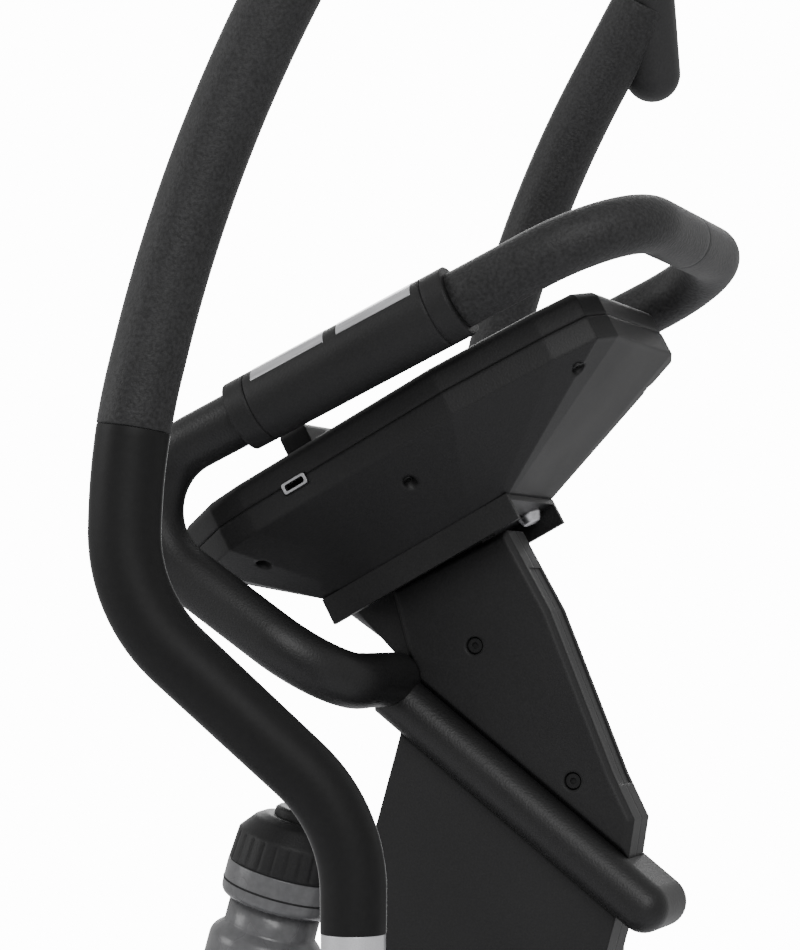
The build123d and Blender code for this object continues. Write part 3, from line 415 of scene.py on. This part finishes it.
def on_bottle():
    """From the bottle's own axes, with Z along it, to the machine's."""
    return Matrix.Translation(BOTTLE_FOOT) @ Matrix.Rotation(BOTTLE_LEAN, 4, "Y")


def flat_route(points, radii):
    """A (radius, height) outline whose inner corners are arcs."""
    route = rounded_route([(r, 0.0, z) for r, z in points], radii, 6)
    return [(p.x, p.z) for p in route]


def neck_flute(turn, z):
    """The shallow flutes round the bottle's neck."""
    return -FLUTE_DEPTH * (0.5 + 0.5 * math.cos(FLUTES * turn)) if z > FLUTE_START_Z else 0.0


def lid_rib(turn, z):
    """The grooves round the grip of the bottle's lid."""
    if not LID_GRIP_Z[0] < z < LID_GRIP_Z[1]:
        return 0.0
    return -LID_GROOVE_DEPTH * max(0.0, math.cos(LID_GROOVES * turn)) ** 6


def make_bottle():
    """The bottle, the wide band under its lid with a dark seal line, and the lid."""
    placing = on_bottle()
    body = flat_route(
        [(0.0, 0.0), (0.0365, 0.0), (0.0365, 0.121), (0.0295, 0.1275), (0.0295, 0.1435)],
        [0.006, 0.010, 0.002])
    wall = lathe("bottle_body", body, placing, "bottle", "bottle_wall", ripple=neck_flute)
    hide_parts("bottle")
    band = flat_route(
        [(0.0290, 0.1435), (0.0362, 0.1435), (0.0368, 0.1530), (0.0368, 0.1665), (0.0300, 0.1665)],
        [0.006, 0.001, 0.0008])
    lathe("bottle_band", band, placing, "bottle", "bottle_wall")
    line = flat_route(
        [(0.0360, 0.1531), (0.0371, 0.1531), (0.0371, 0.1543), (0.0360, 0.1543)],
        [0.0003, 0.0003])
    lathe("bottle_seal", line, placing, "bottle", "rubber")
    cap = flat_route(
        [(0.0290, 0.1667), (0.0366, 0.1667), (0.0352, 0.1865), (0.0270, 0.1965), (0.0215, 0.2000),
         (0.0160, 0.2000)],
        [0.0008, 0.0012, 0.0060, 0.0030])
    lid = lathe("bottle_lid", dense(cap, LID_STEP), placing, "bottle", "black_cover",
                sides=12 * LID_GROOVES, ripple=lid_rib)
    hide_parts("bottle_cap")


def dense(profile, step):
    """The same outline with no two points further apart than step."""
    points = [profile[0]]
    for (r0, z0), (r1, z1) in zip(profile, profile[1:]):
        count = max(1, math.ceil(math.hypot(r1 - r0, z1 - z0) / step))
        points += [(r0 + (r1 - r0) * i / count, z0 + (z1 - z0) * i / count) for i in range(1, count + 1)]
    return points


# ---------------------------------------------------------------- small console pieces
PORT_HALVES = ((0.0082, 0.0034), (0.0066, 0.0020))      # half length and height, outside and inside
PORT_ROUND = 0.0014
PORT_PROUD = 0.0004
PORT_DEPTH = 0.0040


def on_console(u, y, n):
    """The place u along the console, y across it and n above its base."""
    along = Vector((math.cos(CONSOLE_TILT), 0.0, math.sin(CONSOLE_TILT)))
    up = Vector((-math.sin(CONSOLE_TILT), 0.0, math.cos(CONSOLE_TILT)))
    return CONSOLE_ORIGIN + along * u + Vector((0.0, y, 0.0)) + up * n


def make_port():
    """The metal rim of the socket in the console's side."""
    corners = []
    for half_u, half_n in PORT_HALVES:
        outline = rounded_route(
            [(0, 0, -half_n), (half_u, 0, -half_n), (half_u, 0, half_n), (-half_u, 0, half_n),
             (-half_u, 0, -half_n), (0, 0, -half_n)], [PORT_ROUND] * 4, 5)
        corners.append([(p.x, p.z) for p in outline[:-1]])
    vertices, faces = [], []
    count = len(corners[0])
    for y in (-CONSOLE_HALF_WIDTH - PORT_PROUD, -CONSOLE_HALF_WIDTH + PORT_DEPTH):
        for ring in corners:
            vertices += [on_console(PORT_PLACE[0] + u, y, PORT_PLACE[1] + n) for u, n in ring]
    for i in range(count):
        j = (i + 1) % count
        faces += [(i, j, count + j, count + i), (2 * count + j, 2 * count + i, 3 * count + i, 3 * count + j),
                  (j, i, 2 * count + i, 2 * count + j), (count + i, count + j, 3 * count + j, 3 * count + i)]
    mesh_piece("port_rim", vertices, faces, "root", "steel", smooth=False)


def make_bracket_bolts():
    """Bright domed heads under the bracket, over its four plain ones."""
    along = Vector((math.cos(CONSOLE_TILT), 0.0, math.sin(CONSOLE_TILT)))
    down = Vector((math.sin(CONSOLE_TILT), 0.0, -math.cos(CONSOLE_TILT)))
    turn = Matrix((along, down.cross(along), down)).transposed().to_4x4()
    dome = flat_route(
        [(0.0, -0.0002), (0.0076, -0.0002), (0.0076, 0.0010), (0.0056, 0.0060), (0.0010, 0.0064)],
        [0.0002, 0.0004, 0.0020])
    for i, u in enumerate(BRACKET_BOLTS):
        for side, hand in SIDES.items():
            place = on_console(u, hand * BRACKET_BOLT_Y, -BRACKET_PLATE)
            lathe(f"bracket_bolt_{side}_{i + 1}", dome, Matrix.Translation(place) @ turn, "root", "steel",
                  sides=32)


# ---------------------------------------------------------------- floor, light and camera
def fade_out(material, near, far):
    """Make a floor material clear beyond `far` metres from the middle, and solid within `near`."""
    tree = material.node_tree
    place = tree.nodes.new("ShaderNodeTexCoord")
    length = tree.nodes.new("ShaderNodeVectorMath")
    length.operation = "LENGTH"
    tree.links.new(place.outputs["Object"], length.inputs[0])
    clear = tree.nodes.new("ShaderNodeBsdfTransparent")
    mix = tree.nodes.new("ShaderNodeMixShader")
    share = spread(tree, length.outputs["Value"], 0.0, 1.0, near, far, "SMOOTHERSTEP")
    tree.links.new(share, mix.inputs[0])
    tree.links.new(tree.nodes["Principled BSDF"].outputs[0], mix.inputs[1])
    tree.links.new(clear.outputs[0], mix.inputs[2])
    tree.links.new(mix.outputs[0], tree.nodes["Material Output"].inputs["Surface"])


def make_world():
    """An even white surround, which the camera sees brighter than it lights."""
    world = bpy.data.worlds.new("studio")
    world.use_nodes = True
    tree = world.node_tree
    background = tree.nodes["Background"]
    background.inputs["Color"].default_value = (1.0, 1.0, 1.0, 1.0)
    rays = tree.nodes.new("ShaderNodeLightPath")
    strength = spread(tree, rays.outputs["Is Camera Ray"], WORLD_LIGHT, WORLD_SEEN, 0.0, 1.0)
    tree.links.new(strength, background.inputs["Strength"])
    bpy.context.scene.world = world


def make_stage():
    """The floor, the surround and three soft lights."""
    mesh = bpy.data.meshes.new("floor")
    corners = [(-1, -1), (1, -1), (1, 1), (-1, 1)]
    mesh.from_pydata([(x * FLOOR_REACH, y * FLOOR_REACH, 0) for x, y in corners], [], [(0, 1, 2, 3)])
    floor = bpy.data.objects.new("floor", mesh)
    bpy.context.scene.collection.objects.link(floor)
    pale = surface("pale_floor", grey(0.86), grey(0.90), (0.6, 0.7), [(0.004, 0.00005)])
    mesh.materials.append(pale)
    fade_out(pale, *FLOOR_FADE)
    make_world()
    for name, place, aim, size, power in LIGHTS:
        data = bpy.data.lights.new(name, "AREA")
        data.size = size
        data.energy = power
        light = bpy.data.objects.new(name, data)
        light.location = place
        light.rotation_euler = (Vector(aim) - Vector(place)).to_track_quat("-Z", "Y").to_euler()
        bpy.context.scene.collection.objects.link(light)


def make_camera():
    """A long lens a little above the console, looking slightly up."""
    level = math.cos(CAMERA_RISE)
    ahead = Vector((-math.sin(CAMERA_TURN) * level, math.cos(CAMERA_TURN) * level, math.sin(CAMERA_RISE)))
    data = bpy.data.cameras.new("camera")
    data.lens = CAMERA_LENS
    data.sensor_width = 36.0
    data.clip_end = 200.0
    camera = bpy.data.objects.new("camera", data)
    camera.location = CAMERA_PLACE
    camera.rotation_euler = ahead.to_track_quat("-Z", "Y").to_euler()
    bpy.context.scene.collection.objects.link(camera)
    bpy.context.scene.camera = camera


make_camera()
make_stage()
make_handles()
make_bar_foam()
make_bottle()
make_port()
make_bracket_bolts()
